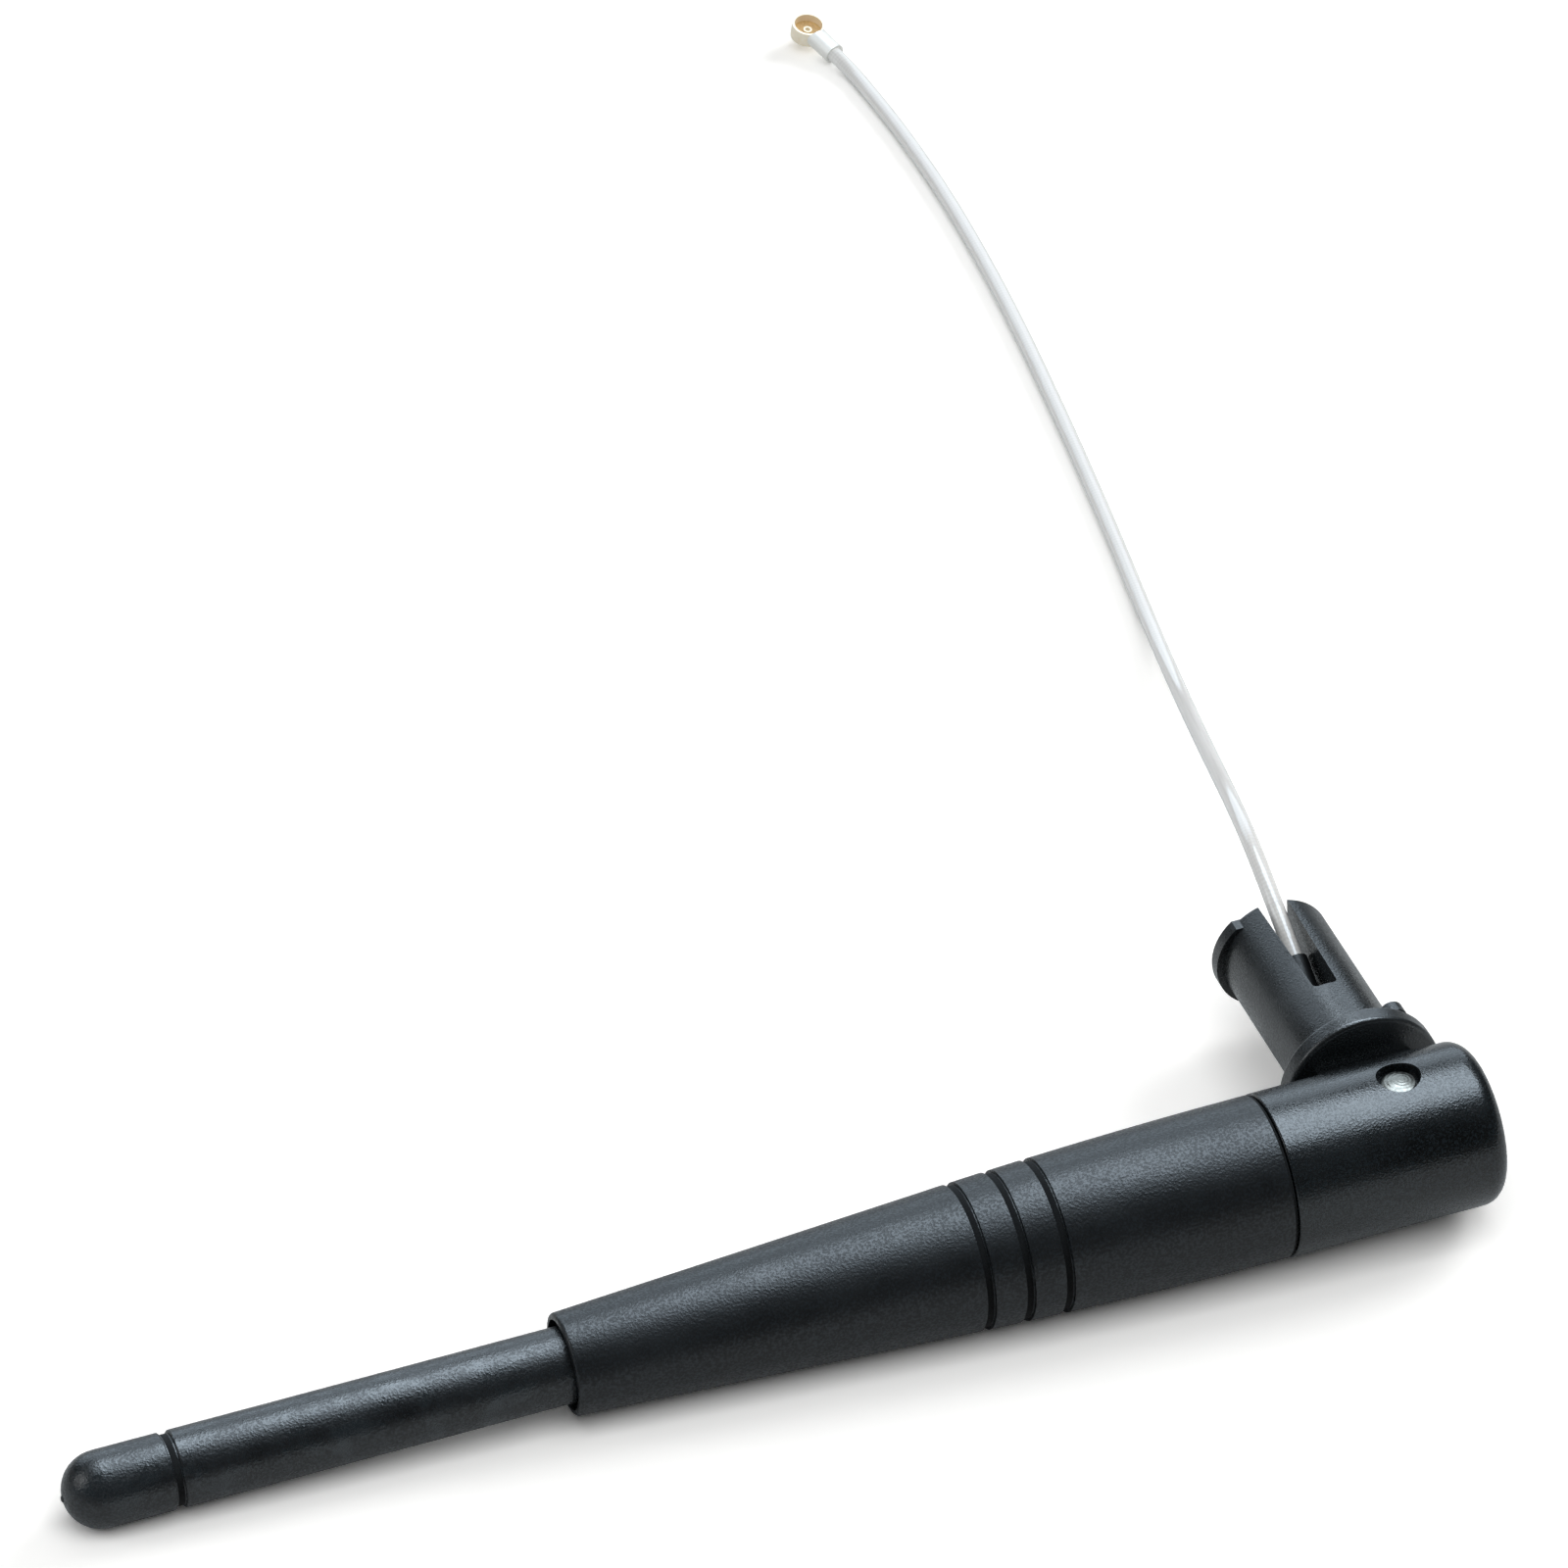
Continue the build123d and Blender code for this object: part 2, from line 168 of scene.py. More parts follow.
def new_material(name: str) -> tuple[bpy.types.Material, bpy.types.NodeTree]:
    """Makes an empty node material.

    Args:
        name: The material's name.

    Returns:
        The material and its node tree.
    """
    material = bpy.data.materials.new(name)
    material.use_nodes = True
    material.node_tree.nodes.clear()
    return material, material.node_tree


def finish_material(tree: bpy.types.NodeTree, shader: bpy.types.Node) -> None:
    """Sends a shader to the material's output.

    Args:
        tree: The node tree.
        shader: The shader that makes the surface.
    """
    add_node(tree, "ShaderNodeOutputMaterial", inputs={"Surface": shader.outputs[0]})


def per_mm(size_mm: float) -> float:
    """Gives a texture scale.

    Args:
        size_mm: How wide the texture's features are, about.

    Returns:
        The scale, for coordinates in metres.
    """
    return 1 / (size_mm * MM)


# Finishes


@dataclass(frozen=True)
class Grooves:
    """Narrow grooves turned round the rod: their torn floors are rough, and painted nearly black as
    painted shade.

    Each band gives where a groove's middle is along the rod and how wide its floor is, in
    millimetres.
    """

    origin: Vector
    along: Vector
    bands: tuple[tuple[float, float], ...]

    def mask(self, tree: bpy.types.NodeTree, place: bpy.types.NodeSocket) -> bpy.types.NodeSocket:
        """Marks the grooves' floors, which get the painted shade.

        Args:
            tree: The node tree.
            place: Where the surface point is, in metres.

        Returns:
            A socket that is one in a groove and nothing elsewhere.
        """
        moved = add_node(tree, "ShaderNodeVectorMath", {"operation": "SUBTRACT"}, {
            0: place, 1: self.origin})
        station = add_node(tree, "ShaderNodeVectorMath", {"operation": "DOT_PRODUCT"}, {
            0: moved.outputs[0], 1: self.along}).outputs["Value"]
        total: bpy.types.NodeSocket | float = 0.0
        for middle, width in self.bands:
            inside = add_node(tree, "ShaderNodeMath", {"operation": "COMPARE"}, {
                0: station, 1: middle * MM, 2: width / 2 * MM})
            total = add_node(tree, "ShaderNodeMath", {"operation": "ADD", "use_clamp": True}, {
                0: inside.outputs[0], 1: total}).outputs[0]
        return total


@dataclass(frozen=True)
class MouldedPlastic:
    """A plastic piece, most often black ABS moulded against a spark-eroded or satin tool face.

    Carbon black keeps the ABS nearly neutral, the tool's grain breaks the lamp's band into fine
    specks, and handling leaves slightly glossier and paler patches. The real grain must be
    under 0.1 mm wide and is drawn coarser, so that it shows. The sparkle is how far the grain swings
    the roughness, and the rub amount is how much smoother the rubbed patches are.
    """

    name: str
    colour: str
    bloom: str
    roughness: float
    specular: float
    grain_mm: float
    grain_height: float
    sparkle: float = 0.03
    patch_mm: float = 9.0
    rub_mm: float = 3.2
    rub_amount: float = 0.0
    rubbed: str = "#20262a"
    # A near-black painted on the groove floors as painted shade.
    groove_painted_shade: str = "#020202"
    grooves: Grooves | None = None

    def build(self) -> bpy.types.Material:
        """Makes the material.

        Returns:
            The finish, ready for a mesh.
        """
        material, tree = new_material(self.name)
        place = add_node(tree, "ShaderNodeTexCoord").outputs["Object"]
        grain = add_node(tree, "ShaderNodeTexNoise", inputs={
            "Vector": place, "Scale": per_mm(self.grain_mm), "Detail": 1.0, "Roughness": 0.6})
        patch = add_node(tree, "ShaderNodeTexNoise", inputs={
            "Vector": place, "Scale": per_mm(self.patch_mm), "Detail": 4.0, "Roughness": 0.6})
        # The noises lie mostly between 0.35 and 0.65, and these ranges pick their peaks.
        speck = remap(tree, grain.outputs["Fac"], (0.47, 0.60), (0.0, 0.8))
        bloom = remap(tree, patch.outputs["Fac"], (0.35, 0.75), (0.0, 0.4))
        share = add_node(tree, "ShaderNodeMath", {"operation": "ADD", "use_clamp": True}, {
            0: speck, 1: bloom}).outputs[0]
        colour = mix_colour(tree, share, linear(self.colour), linear(self.bloom))
        even = remap(
            tree, patch.outputs["Fac"], (0.3, 0.7), (self.roughness - 0.05, self.roughness + 0.06))
        glint = remap(tree, grain.outputs["Fac"], (0.40, 0.60), (self.sparkle, -self.sparkle))
        roughness = add_node(tree, "ShaderNodeMath", {"operation": "ADD"}, {
            0: even, 1: glint}).outputs[0]
        if self.rub_amount:
            rub = add_node(tree, "ShaderNodeTexNoise", inputs={
                "Vector": place, "Scale": per_mm(self.rub_mm), "Detail": 4.0, "Roughness": 0.6,
                "Distortion": 0.8})
            worn = remap(tree, rub.outputs["Fac"], (0.50, 0.64))
            roughness = add_node(tree, "ShaderNodeMath", {"operation": "MULTIPLY_ADD"}, {
                0: worn, 1: -self.rub_amount, 2: roughness}).outputs[0]
            colour = mix_colour(tree, worn, colour, linear(self.rubbed))
        if self.grooves:
            # Painted shade: the groove floors turn near black and fully rough.
            floor = self.grooves.mask(tree, place)
            colour = mix_colour(tree, floor, colour, linear(self.groove_painted_shade))
            roughness = add_node(
                tree, "ShaderNodeMath", {"operation": "ADD", "use_clamp": True}, {
                    0: roughness, 1: floor}).outputs[0]
        bump = add_node(tree, "ShaderNodeBump", inputs={
            "Strength": 1.0, "Distance": self.grain_height * MM, "Height": grain.outputs["Fac"]})
        shader = add_node(tree, "ShaderNodeBsdfPrincipled", inputs={
            "Base Color": colour, "Roughness": roughness, "IOR": ABS_IOR,
            "Specular IOR Level": self.specular, "Normal": bump.outputs["Normal"]})
        finish_material(tree, shader)
        return material


@dataclass(frozen=True)
class Metal:
    """A bare or plated metal with the marks of how it was worked.

    Ring marks come from the lathe, and the fine mottle from tumbling or the plating bath. A
    metallic share under one is for a satin plating that reads paler than bare metal.
    """

    name: str
    colour: str
    dull: str
    roughness: float
    mark_mm: float
    mark_height: float
    centre: Vector | None = None
    metallic: float = 1.0

    def build(self) -> bpy.types.Material:
        """Makes the material.

        Returns:
            The finish, ready for a mesh.
        """
        material, tree = new_material(self.name)
        place = add_node(tree, "ShaderNodeTexCoord").outputs["Object"]
        fine = add_node(tree, "ShaderNodeTexNoise", inputs={
            "Vector": place, "Scale": per_mm(self.mark_mm), "Detail": 3.0})
        height = fine.outputs["Fac"]
        if self.centre is not None:
            moved = add_node(tree, "ShaderNodeVectorMath", {"operation": "SUBTRACT"}, {
                0: place, 1: self.centre})
            turned = add_node(
                tree, "ShaderNodeTexWave", {"wave_type": "RINGS", "rings_direction": "Z"}, {
                    "Vector": moved.outputs[0], "Scale": RING_WAVE_SCALE * per_mm(self.mark_mm),
                    "Distortion": 0.6, "Detail": 2.0})
            height = turned.outputs["Fac"]
        colour = mix_colour(tree, fine.outputs["Fac"], linear(self.colour), linear(self.dull))
        rough = remap(
            tree, fine.outputs["Fac"], (0.3, 0.7), (self.roughness * 0.75, self.roughness * 1.3))
        bump = add_node(tree, "ShaderNodeBump", inputs={
            "Distance": self.mark_height * MM, "Height": height})
        shader = add_node(tree, "ShaderNodeBsdfPrincipled", inputs={
            "Base Color": colour, "Metallic": self.metallic, "Roughness": rough,
            "Normal": bump.outputs["Normal"]})
        finish_material(tree, shader)
        return material


@dataclass(frozen=True)
class ClearJacket:
    """Fluoropolymer jacket, extruded thin and clear over a tinned braid.

    The eye gets a pale waxy tube with a wet streak of light and the braid's faint lattice. Its edges
    are painted paler: painted rim light.
    """

    name: str = "fep_jacket_extruded_over_braid"
    jacket: str = "#e6e7e6"
    braid: str = "#bcbfbe"
    # Mixed in towards the tube's edges: painted rim light.
    rim: str = "#f4f4f3"
    strands: int = 8
    lay_mm: float = 6.0
    scatter_mm: float = 0.5

    def build(self) -> bpy.types.Material:
        """Makes the material. Its map runs in millimetres along the lead and once round it.

        Returns:
            The finish, ready for a mesh.
        """
        material, tree = new_material(self.name)
        uv = add_node(tree, "ShaderNodeTexCoord").outputs["UV"]
        split = add_node(tree, "ShaderNodeSeparateXYZ", inputs={0: uv})
        lattice = []
        for hand in (1, -1):
            along = add_node(tree, "ShaderNodeMath", {"operation": "MULTIPLY"}, {
                0: split.outputs[0], 1: hand * self.strands / self.lay_mm})
            turn = add_node(tree, "ShaderNodeMath", {"operation": "MULTIPLY_ADD"}, {
                0: split.outputs[1], 1: float(self.strands), 2: along.outputs[0]})
            angle = add_node(tree, "ShaderNodeMath", {"operation": "MULTIPLY"}, {
                0: turn.outputs[0], 1: math.tau})
            lattice.append(add_node(
                tree, "ShaderNodeMath", {"operation": "SINE"}, {0: angle.outputs[0]}).outputs[0])
        woven = add_node(tree, "ShaderNodeMath", {"operation": "MULTIPLY"}, {
            0: lattice[0], 1: lattice[1]})
        share = remap(tree, woven.outputs[0], (-1.0, 1.0), (0.05, 0.55))
        seen = mix_colour(tree, share, linear(self.jacket), linear(self.braid))
        # Paler towards the edges as the surface turns away: painted rim light.
        painted_rim_weight = add_node(tree, "ShaderNodeLayerWeight", inputs={"Blend": 0.45})
        colour = mix_colour(tree, painted_rim_weight.outputs["Facing"], seen, linear(self.rim))
        bump = add_node(tree, "ShaderNodeBump", inputs={
            "Strength": 0.3, "Distance": 0.010 * MM, "Height": woven.outputs[0]})
        shader = add_node(tree, "ShaderNodeBsdfPrincipled", inputs={
            "Base Color": colour, "Roughness": 0.34, "IOR": FEP_IOR,
            "Coat Weight": 1.0, "Coat Roughness": 0.10, "Coat IOR": WET_COAT_IOR,
            "Subsurface Weight": 0.25, "Subsurface Radius": (self.scatter_mm * MM,) * 3,
            "Subsurface Scale": 1.0, "Normal": bump.outputs["Normal"]})
        finish_material(tree, shader)
        return material


@dataclass(frozen=True)
class TableTop:
    """Pale seamless table, painted matt, that reads as near white and keeps the shadow."""

    name: str = "painted_matt_table"
    colour: str = "#f3f3f2"
    tooth: str = "#f6f6f5"
    mirrored: str = "#d4dadd"
    seen_gain: float = 1.42
    tooth_mm: float = 40.0

    def build(self) -> bpy.types.Material:
        """Makes the material. The camera sees it a little paler than it lights the antenna.

        Returns:
            The finish, ready for a mesh.
        """
        material, tree = new_material(self.name)
        place = add_node(tree, "ShaderNodeTexCoord").outputs["Object"]
        tooth = add_node(tree, "ShaderNodeTexNoise", inputs={
            "Vector": place, "Scale": per_mm(self.tooth_mm), "Detail": 3.0})
        tint = mix_colour(tree, tooth.outputs["Fac"], linear(self.colour), linear(self.tooth))
        ray = add_node(tree, "ShaderNodeLightPath")
        gain = remap(tree, ray.outputs["Is Camera Ray"], target=(1.0, self.seen_gain))
        seen = add_node(tree, "ShaderNodeVectorMath", {"operation": "SCALE"}, {
            0: tint, "Scale": gain}).outputs[0]
        colour = mix_colour(tree, ray.outputs["Is Glossy Ray"], seen, linear(self.mirrored))
        finish_material(tree, add_node(tree, "ShaderNodeBsdfDiffuse", inputs={"Color": colour}))
        return material


# Shared shapes


def new_piece(
    name: str, verts: Iterable[Sequence[float]], faces: Iterable[Sequence[int]],
    material: bpy.types.Material, sharp_deg: float = 38.0,
) -> bpy.types.Object:
    """Makes a smooth mesh piece in the row frame.

    Args:
        name: The piece's name.
        verts: Its points, in metres.
        faces: Its faces, as numbers of points.
        material: Its finish.
        sharp_deg: Edges that turn by more than this stay crisp.

    Returns:
        The linked object.
    """
    mesh = bpy.data.meshes.new(name)
    mesh.from_pydata([tuple(v) for v in verts], [], [tuple(f) for f in faces])
    mesh.validate()
    mesh.polygons.foreach_set("use_smooth", [True] * len(mesh.polygons))
    mesh.set_sharp_from_angle(angle=math.radians(sharp_deg))
    mesh.materials.append(material)
    piece = bpy.data.objects.new(name, mesh)
    bpy.context.scene.collection.objects.link(piece)
    return piece


def spline_points(controls: Sequence[Vector], smoothness: int = 12) -> list[Vector]:
    """Reads the points of a smooth spline.

    Args:
        controls: The spline's control points.
        smoothness: Points for each stretch between controls.

    Returns:
        Points along the spline, from its first control point to its last.
    """
    data = bpy.data.curves.new("lead_route", "CURVE")
    data.dimensions = "3D"
    data.resolution_u = smoothness
    spline = data.splines.new("NURBS")
    spline.points.add(len(controls) - 1)
    for point, control in zip(spline.points, controls):
        point.co = (*control, 1.0)
    spline.order_u = 3
    spline.use_endpoint_u = True
    holder = bpy.data.objects.new("lead_route", data)
    mesh = bpy.data.meshes.new_from_object(holder)
    points = [v.co.copy() for v in mesh.vertices]
    bpy.data.objects.remove(holder)
    bpy.data.curves.remove(data)
    bpy.data.meshes.remove(mesh)
    return points


def tube_piece(
    name: str, line: Sequence[Vector], radius: float, material: bpy.types.Material,
    sides: int = 28,
) -> bpy.types.Object:
    """Makes a round tube along a line, mapped in millimetres along it and once round it.

    Args:
        name: The piece's name.
        line: Its ring centres.
        radius: Its outer radius.
        material: Its finish.
        sides: Faces round it.

    Returns:
        The tube, with closed ends.
    """
    heading = (line[1] - line[0]).normalized()
    across = heading.orthogonal().normalized()
    verts: list[Vector] = []
    lengths = [0.0]
    for i, centre in enumerate(line):
        ahead = line[min(i + 1, len(line) - 1)] - line[max(i - 1, 0)]
        turn = heading.rotation_difference(ahead.normalized())
        heading = ahead.normalized()
        across = (turn @ across).normalized()
        side = heading.cross(across)
        if i:
            lengths.append(lengths[-1] + (centre - line[i - 1]).length / MM)
        for k in range(sides):
            angle = math.tau * k / sides
            verts.append(centre + radius * (math.cos(angle) * across + math.sin(angle) * side))
    faces = [
        (i * sides + k, i * sides + (k + 1) % sides,
         (i + 1) * sides + (k + 1) % sides, (i + 1) * sides + k)
        for i in range(len(line) - 1) for k in range(sides)
    ]
    walls = len(faces)
    last = (len(line) - 1) * sides
    faces.append(tuple(reversed(range(sides))))
    faces.append(tuple(range(last, last + sides)))
    piece = new_piece(name, verts, faces, material)
    layer = piece.data.uv_layers.new(name="lead")
    for poly in piece.data.polygons:
        for corner, loop in enumerate(poly.loop_indices):
            ring, k = divmod(piece.data.loops[loop].vertex_index, sides)
            turn_share = k / sides
            if poly.index < walls and corner in (1, 2) and k == 0:
                turn_share = 1.0
            layer.data[loop].uv = (lengths[ring], turn_share)
    return piece


def lathe_piece(
    name: str, profile: Sequence[tuple[float, float]], seat: Matrix,
    material: bpy.types.Material, segments: int,
) -> bpy.types.Object:
    """Turns a profile about the seat's Z axis.

    Args:
        name: The piece's name.
        profile: Radius and height of each point, in metres, from the axis round to the axis.
        seat: Where the piece's own frame lies in the row frame.
        material: Its finish.
        segments: Faces round it.

    Returns:
        The turned piece.
    """
    verts: list[Vector] = []
    rings: list[list[int]] = []
    for radius, height in profile:
        if radius < ON_AXIS:
            rings.append([len(verts)] * segments)
            verts.append(seat @ Vector((0, 0, height)))
            continue
        rings.append(list(range(len(verts), len(verts) + segments)))
        for k in range(segments):
            angle = math.tau * k / segments
            point = Vector((radius * math.cos(angle), radius * math.sin(angle), height))
            verts.append(seat @ point)
    faces = []
    for low, high in zip(rings, rings[1:]):
        for k in range(segments):
            n = (k + 1) % segments
            corners = [low[k], low[n], high[n], high[k]]
            kept = [c for i, c in enumerate(corners) if c not in corners[:i]]
            if len(kept) > 2:
                faces.append(kept)
    return new_piece(name, verts, faces, material)


def dress(node: str, material: bpy.types.Material) -> None:
    """Gives a carried-over CAD node its finish.

    Args:
        node: The node's name.
        material: Its finish.
    """
    mesh = frame["nodes"][node].data
    mesh.materials.clear()
    mesh.materials.append(material)
    LOG.info("dressed %s in %s", node, material.name)


def shrink_plastic() -> MouldedPlastic:
    """Describes black heat-shrink tube: matt, and pulled smooth where it has shrunk.

    Returns:
        The plastic, not yet built.
    """
    return MouldedPlastic("polyolefin_shrunk", "#0b0c0d", "#141617", 0.50, 0.35, 0.3, 0.01)


# The antenna


@dataclass
class LyingFrame:
    """The antenna's own axes as it lies: along the rod, along the post and along the pin."""

    origin: Vector
    pin: Vector

    def rod(self) -> Vector:
        """Gives the rod's direction.

        Returns:
            A unit vector from its tip to its knuckle.
        """
        return Vector((0, 1, 0)).cross(self.pin).normalized()

    def at(self, x: float, y: float, z: float) -> Vector:
        """Places a point that is given in the antenna's own axes.

        Args:
            x: Millimetres along the rod, from the pin away from the tip.
            y: Millimetres along the post.
            z: Millimetres along the pin.

        Returns:
            The point in the row frame, in metres.
        """
        post = Vector((0, 1, 0))
        return self.origin + MM * (x * self.rod() + y * post + z * self.pin)


@dataclass
class Whip:
    """The folding rod: knuckle, grip sleeve, thin shaft, pins and the feed inside.

    Places along the rod are millimetres from the hinge pin towards the tip.
    """

    lying: LyingFrame
    ring_first: float = 29.33
    ring_pitch: float = 3.15
    ring_count: int = 3
    ring_floor: float = 0.50
    parting: tuple[float, float] = (11.0, 0.28)
    tip_ring: tuple[float, float] = (98.87, 0.5)
    tip: float = 107.35
    gate_r: float = 0.28
    gate_height: float = 0.12
    gate_sunk: float = 0.06
    gate_steps: int = 6
    gate_sides: int = 24

    def dress(self) -> None:
        """Finishes every node of the rod."""
        # The rings, the parting gap and the tip ring get painted shade on their floors.
        origin, along = self.lying.origin, -self.lying.rod()
        rings = tuple(
            (self.ring_first + i * self.ring_pitch, self.ring_floor)
            for i in range(self.ring_count))
        # The glossiest, so its grain breaks the highlight into bright specks.
        knuckle = MouldedPlastic(
            "abs_black_spark_eroded", "#030404", "#1c2226", roughness=0.25, specular=0.47,
            grain_mm=0.18, grain_height=0.024, sparkle=0.09,
            grooves=Grooves(origin, along, (self.parting,)))
        # Duller, with a broad soft band of light.
        sleeve = MouldedPlastic(
            "abs_black_fine_eroded", "#050607", "#1b2024", roughness=0.40, specular=0.37,
            grain_mm=0.21, grain_height=0.033, sparkle=0.09,
            grooves=Grooves(origin, along, (self.parting, *rings)))
        # Satin, with cloudy patches where it was rubbed.
        shaft = MouldedPlastic(
            "abs_black_satin", "#040506", "#1b2024", roughness=0.37, specular=0.52,
            grain_mm=0.21, grain_height=0.032, sparkle=0.09, patch_mm=4.5, rub_amount=0.13,
            grooves=Grooves(origin, along, (self.tip_ring,))).build()
        dress("knuckle_housing", knuckle.build())
        dress("grip_sleeve", sleeve.build())
        dress("radome_tube", shaft)
        # Lathe rings that smear the lamp on the pin's head.
        steel = Metal(
            "stainless_steel_turned", "#86847e", "#63635f", roughness=0.34, mark_mm=0.30,
            mark_height=0.010, centre=origin).build()
        for node in ("hinge_pin_upper", "hinge_pin_lower"):
            dress(node, steel)
        # Yellow, with the soft even gloss of drawn stock.
        brass = Metal("brass_drawn", "#d0a95c", "#b8904a", 0.28, 0.25, 0.003).build()
        for node in ("choke_sleeve", "radiator_rod", "cable_stop"):
            dress(node, brass)
        # Grey and slightly frosted.
        solder = Metal("solder_reflowed", "#b9bab8", "#9a9c9a", 0.35, 0.4, 0.01)
        dress("braid_solder", solder.build())
        # White and waxy.
        wax = MouldedPlastic("ptfe_turned", "#e6e6e2", "#d8d8d3", 0.42, 0.4, 0.2, 0.004).build()
        for node in ("feed_bead", "coax_core", "tip_collar", "choke_collar"):
            dress(node, wax)
        dress("heat_shrink", shrink_plastic().build())
        self.build_gate(shaft)

    def build_gate(self, plastic: bpy.types.Material) -> None:
        """Adds the stub that the moulding gate left on the tip.

        Args:
            plastic: The tube's finish.
        """
        rod = self.lying.rod()
        turn = Matrix((self.lying.pin, rod.cross(self.lying.pin), rod)).transposed().to_4x4()
        seat = Matrix.Translation(self.lying.at(-self.tip, 0, 0)) @ turn
        angles = [math.pi / 2 * i / self.gate_steps for i in range(self.gate_steps + 1)]
        profile = [
            *((self.gate_r * math.sin(a), -self.gate_height * math.cos(a)) for a in angles),
            (self.gate_r, self.gate_sunk), (0.0, self.gate_sunk)]
        stub = lathe_piece(
            "tip_gate_stub", [(r * MM, h * MM) for r, h in profile], seat, plastic,
            self.gate_sides)
        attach(stub, Body.WHIP.value)


@dataclass
class SnapBase:
    """The split post with its flange, hooked lip and locating key."""

    def dress(self) -> None:
        """Finishes the base."""
        # Satin and a little glossier than the rod, with crisp bright edges.
        satin = MouldedPlastic(
            "abs_black_satin_post", "#060708", "#1c2123", roughness=0.33, specular=0.80,
            grain_mm=0.18, grain_height=0.022, sparkle=0.06)
        dress("snap_base", satin.build())


@dataclass
class Coax:
    """The thin lead: through the hinge, up the split post, and free along the table.

    Places in the post are millimetres from the hinge pin, and the free route is millimetres in
    the row frame. The length is what the photograph shows, in metres.
    """

    lying: LyingFrame
    diameter: float = 1.37
    bend_r: float = 6.0
    bend_steps: int = 24
    straight: float = 9.0
    rise: float = 17.5
    climb_smoothness: int = 10
    post_end: float = 26.1
    exit_side: float = 0.25
    exit_lift: float = 4.0
    exit_run: float = 5.0
    shrink_d: float = 1.95
    shrink_span: tuple[float, float] = (12.5, 21.7)
    free_route: tuple[tuple[float, float, float], ...] = (
        (51.7, 29.1, 12.1),
        (53.65, 38.0, 9.2),
        (55.85, 47.0, 5.75),
        (58.1, 57.0, 2.6),
        (60.0, 68.0, 0.95),
        (62.0, 82.0, 0.7),
        (64.15, 100.0, 0.7),
        (65.95, 118.0, 0.7),
        (66.85, 134.0, 0.7),
        (66.8, 146.0, 0.7),
        (66.35, 154.0, 0.7),
        (65.85, 159.3, 0.75),
        (64.56, 162.98, 1.6),
    )
    route_smoothness: int = 16
    length: float = 0.150

    def exit(self) -> Vector:
        """Gives the place where the lead leaves the post.

        Returns:
            The place, in metres.
        """
        return self.lying.at(self.exit_side, self.post_end, self.exit_lift)

    def route(self) -> list[Vector]:
        """Lists the free lead's control points.

        Returns:
            The points from the post to the plug, in metres.
        """
        start = self.exit()
        out = (start - self.lying.at(0, self.rise, 0)).normalized()
        return [start, start + out * self.exit_run * MM] + [
            MM * Vector(point) for point in self.free_route]

    def build(self, plug: Sequence[bpy.types.Object | str]) -> None:
        """Makes the lead's visible stretches and finishes the rest of it.

        Args:
            plug: The pieces on the lead's far end. Not used.
        """
        jacket = ClearJacket().build()
        dress("cable_in_whip", jacket)
        self.build_pigtail(jacket)
        self.build_climb(jacket)
        self.build_bend(jacket)
        LOG.info("coax pieces follow the hinge")

    def build_pigtail(
        self, jacket: bpy.types.Material,
    ) -> None:
        """Makes the free lead from the post to the plug.

        Args:
            jacket: The lead's finish.
        """
        path = spline_points(self.route(), self.route_smoothness)
        pigtail = tube_piece("coax_pigtail", path, self.diameter / 2 * MM, jacket)
        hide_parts("pigtail_cable")
        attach(pigtail, Body.BASE.value)
        tuple(self.exit())
        [tuple(p) for p in path]
        LOG.info("coax_pigtail follows %d points", len(path))

    def build_climb(self, jacket: bpy.types.Material) -> None:
        """Makes the lead inside the post, with the shrink tube that hides its middle.

        Args:
            jacket: The lead's finish.
        """
        at = self.lying.at
        controls = [
            at(0, self.bend_r, 0), at(0, self.straight, 0), at(0, self.rise, 0),
            at(0.5 * self.exit_side, (self.rise + self.post_end) / 2, 0.5 * self.exit_lift),
            self.exit()]
        climb = spline_points(controls, self.climb_smoothness)
        riser = tube_piece("coax_in_post", climb, self.diameter / 2 * MM, jacket)
        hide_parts("cable_in_base")
        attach(riser, Body.BASE.value)
        low, high = self.shrink_span
        covered = [p for p in climb if low < (p.y - self.lying.origin.y) / MM < high]
        sleeve = tube_piece(
            "lead_shrink_sleeve", covered, self.shrink_d / 2 * MM, shrink_plastic().build())
        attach(sleeve, Body.BASE.value)

    def build_bend(self, jacket: bpy.types.Material) -> None:
        """Makes the lead in the hinge as one fixed quarter bend.

        Args:
            jacket: The lead's finish.
        """
        turns = [math.pi / 2 * i / self.bend_steps for i in range(self.bend_steps + 1)]
        arc = [
            self.lying.at(
                -self.bend_r + self.bend_r * math.sin(turn),
                self.bend_r - self.bend_r * math.cos(turn), 0)
            for turn in turns]
        bend = tube_piece("coax_hinge_bend", arc, self.diameter / 2 * MM, jacket)
        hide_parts("cable_hinge_bend")
        tuple(arc[0])
        tuple(arc[-1])
        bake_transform(bend)


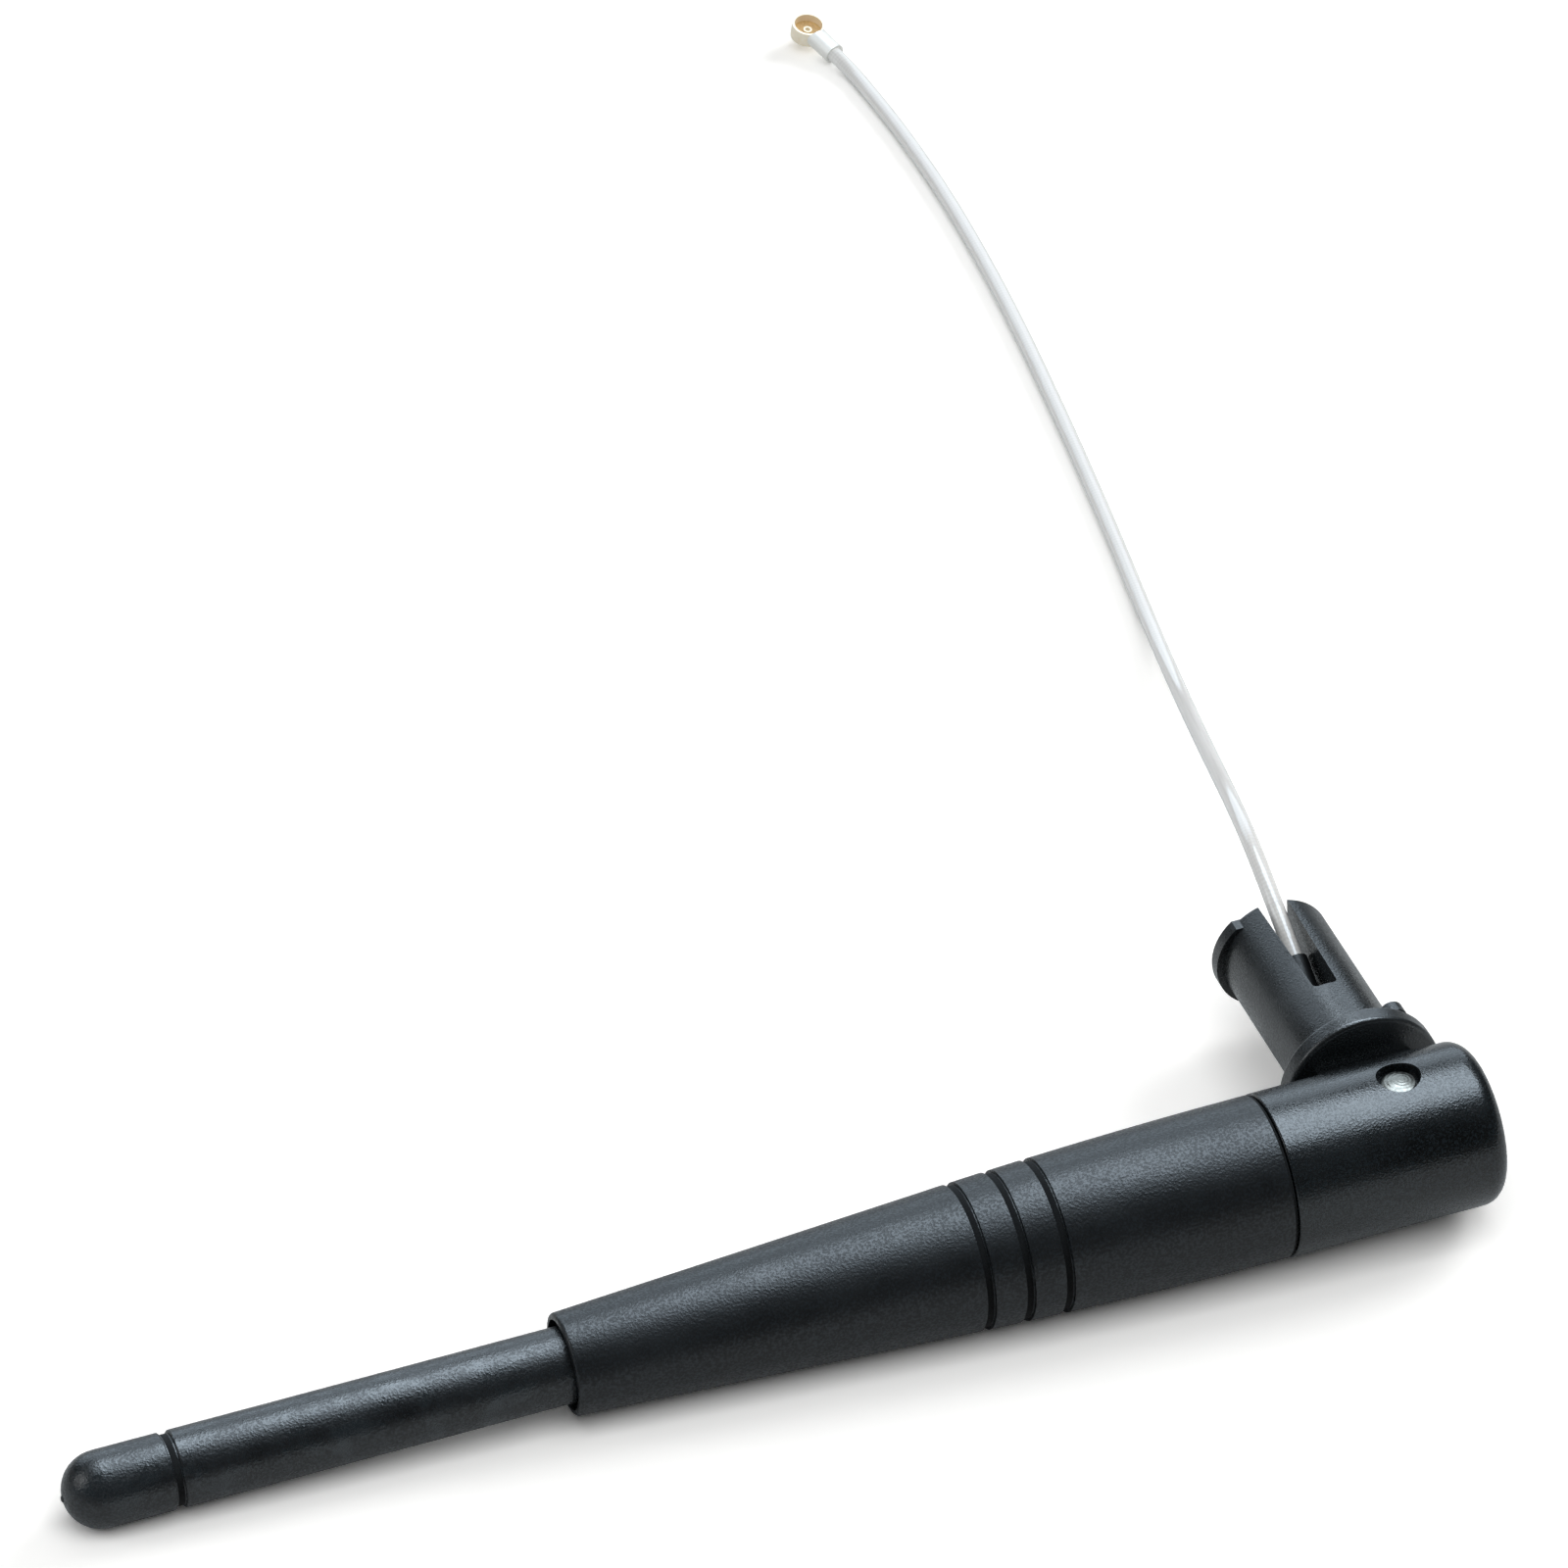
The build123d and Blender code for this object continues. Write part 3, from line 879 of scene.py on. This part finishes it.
@dataclass
class MicroPlug:
    """The round gold plug at the lead's end, its mouth up, with a crimp over the jacket."""

    shell: str = "plug_shell"
    contact: str = "plug_contact"
    insulator: str = "plug_insulator"
    crimp: str = "plug_crimp"

    def dress(self) -> list[bpy.types.Object | str]:
        """Finishes the plug.

        Returns:
            The pieces that go with the lead.
        """
        # Thin bright gold, nearly white on the rim and warm inside.
        gold = Metal(
            "brass_gold_plated", "#fdf6e8", "#f2e4c6", roughness=0.42, mark_mm=0.3,
            mark_height=0.002, metallic=0.4).build()
        # Satin white tin that runs into the pale lead.
        tin = Metal(
            "brass_tin_plated", "#f2f2ee", "#e6e6e2", roughness=0.50, mark_mm=0.3,
            mark_height=0.004, metallic=0.3).build()
        # Natural tan, matt, seen as the plug's warm middle.
        tan = MouldedPlastic(
            "lcp_natural_moulded", "#c9a468", "#dcba80", roughness=0.5, specular=0.4,
            grain_mm=0.2, grain_height=0.004).build()
        dress(self.shell, gold)
        dress(self.contact, gold)
        dress(self.insulator, tan)
        dress(self.crimp, tin)
        return [self.shell, self.contact, self.insulator, self.crimp]


# Studio


@dataclass(frozen=True)
class Lamp:
    """A soft lamp that points at the middle of the scene. Its power is in watts."""

    name: str
    place: tuple[float, float, float]
    size: tuple[float, float]
    power: float
    tint: str = WHITE
    reach: Reach = Reach.ALL

    def hang(self) -> None:
        """Hangs the lamp where it belongs."""
        data = bpy.data.lights.new(self.name, "AREA")
        data.shape = "RECTANGLE"
        data.size, data.size_y = self.size
        data.energy = self.power
        data.color = linear(self.tint)[:3]
        lamp = bpy.data.objects.new(self.name, data)
        lamp.location = self.place
        lamp.visible_camera = False
        lamp.visible_diffuse = self.reach is not Reach.SHEEN
        lamp.visible_glossy = self.reach is not Reach.SHADE
        lamp.rotation_euler = (-Vector(self.place)).to_track_quat("-Z", "Y").to_euler()
        bpy.context.scene.collection.objects.link(lamp)


SKY = "#dbecfa"
LAMPS = (
    # Matt surfaces take these: they shape the shade round the rod and left of the lead.
    Lamp("front_shade", (0.0, -0.28, 0.60), (0.60, 0.55), 2.2, reach=Reach.SHADE),
    Lamp("right_shade", (0.55, 0.22, 0.34), (0.36, 0.30), 1.9, reach=Reach.SHADE),
    Lamp("left_softbox", (-0.62, 0.10, 0.42), (0.40, 0.40), 0.9),
    Lamp("overhead_softbox", (0.16, 0.22, 0.60), (0.60, 0.46), 0.3),
    # Reflections take these: the cool band along the rod, its far edge and the post's left.
    Lamp("overhead_sheen", (0.16, 0.13, 0.60), (0.60, 0.40), 6.6, SKY, Reach.SHEEN),
    Lamp("back_sheen", (0.10, 0.62, 0.27), (0.80, 0.36), 2.2, SKY, Reach.SHEEN),
    Lamp("left_sheen", (-0.62, 0.10, 0.42), (0.40, 0.40), 1.8, SKY, Reach.SHEEN),
)


@dataclass
class Studio:
    """Pale floor, plain soft lamps and the camera at the photograph's place.

    Angles are degrees, the sensor is millimetres, the camera's focal length and frame are pixels
    of the photograph, and places are metres.
    """

    azimuth: float = -19.128
    elevation: float = 36.663
    roll: float = -0.68
    focal_px: float = 10000.0
    frame_px: float = 1600.0
    sensor: float = 36.0
    clip: tuple[float, float] = (0.01, 20.0)
    position: tuple[float, float, float] = (-0.18711, -0.55031, 0.48021)
    floor_half: float = 3.0
    room_light: float = 0.255
    room_mirrored: float = 0.03

    def build(self) -> None:
        """Sets the stage."""
        self.add_floor()
        self.add_world()
        for lamp in LAMPS:
            lamp.hang()
        self.add_camera()
        bpy.context.scene.view_settings.view_transform = "Standard"

    def add_floor(self) -> None:
        """Lays the table top."""
        h = self.floor_half
        floor = new_piece(
            "table_top", [(-h, -h, 0), (h, -h, 0), (h, h, 0), (-h, h, 0)], [(0, 1, 2, 3)],
            TableTop().build())

    def add_world(self) -> None:
        """Gives an even room, which polished faces see dimmer than the table does."""
        world = bpy.data.worlds.new("plain_room")
        world.use_nodes = True
        world.node_tree.nodes.clear()
        tree = world.node_tree
        ray = add_node(tree, "ShaderNodeLightPath")
        level = remap(
            tree, ray.outputs["Is Diffuse Ray"], target=(self.room_mirrored, self.room_light))
        light = add_node(tree, "ShaderNodeBackground", inputs={
            "Color": linear(WHITE), "Strength": level})
        add_node(tree, "ShaderNodeOutputWorld", inputs={"Surface": light.outputs[0]})
        bpy.context.scene.world = world

    def add_camera(self) -> None:
        """Puts the camera where the photograph was taken from."""
        a, e, r = (math.radians(v) for v in (self.azimuth, self.elevation, self.roll))
        look = Vector((-math.sin(a) * math.cos(e), math.cos(a) * math.cos(e), -math.sin(e)))
        level = Vector((math.cos(a), math.sin(a), 0))
        upright = level.cross(look)
        right = math.cos(r) * level + math.sin(r) * upright
        up = math.cos(r) * upright - math.sin(r) * level
        data = bpy.data.cameras.new("photo_camera")
        data.sensor_width = self.sensor
        data.lens = self.focal_px / self.frame_px * self.sensor
        data.clip_start, data.clip_end = self.clip
        camera = bpy.data.objects.new("photo_camera", data)
        turn = Matrix((right, up, -look)).transposed().to_4x4()
        camera.matrix_world = Matrix.Translation(Vector(self.position)) @ turn
        bpy.context.scene.collection.objects.link(camera)
        bpy.context.scene.camera = camera


def main() -> None:
    """Builds the antenna and its studio in order."""
    logging.basicConfig(level=logging.INFO, format="%(message)s")
    hinge = frame["joints"][0]
    lying = LyingFrame(Vector(hinge["pos_m"]), Vector(hinge["axis"]).normalized())
    Whip(lying).dress()
    SnapBase().dress()
    Coax(lying).build(MicroPlug().dress())
    Studio().build()


if __name__ == "__main__":
    main()
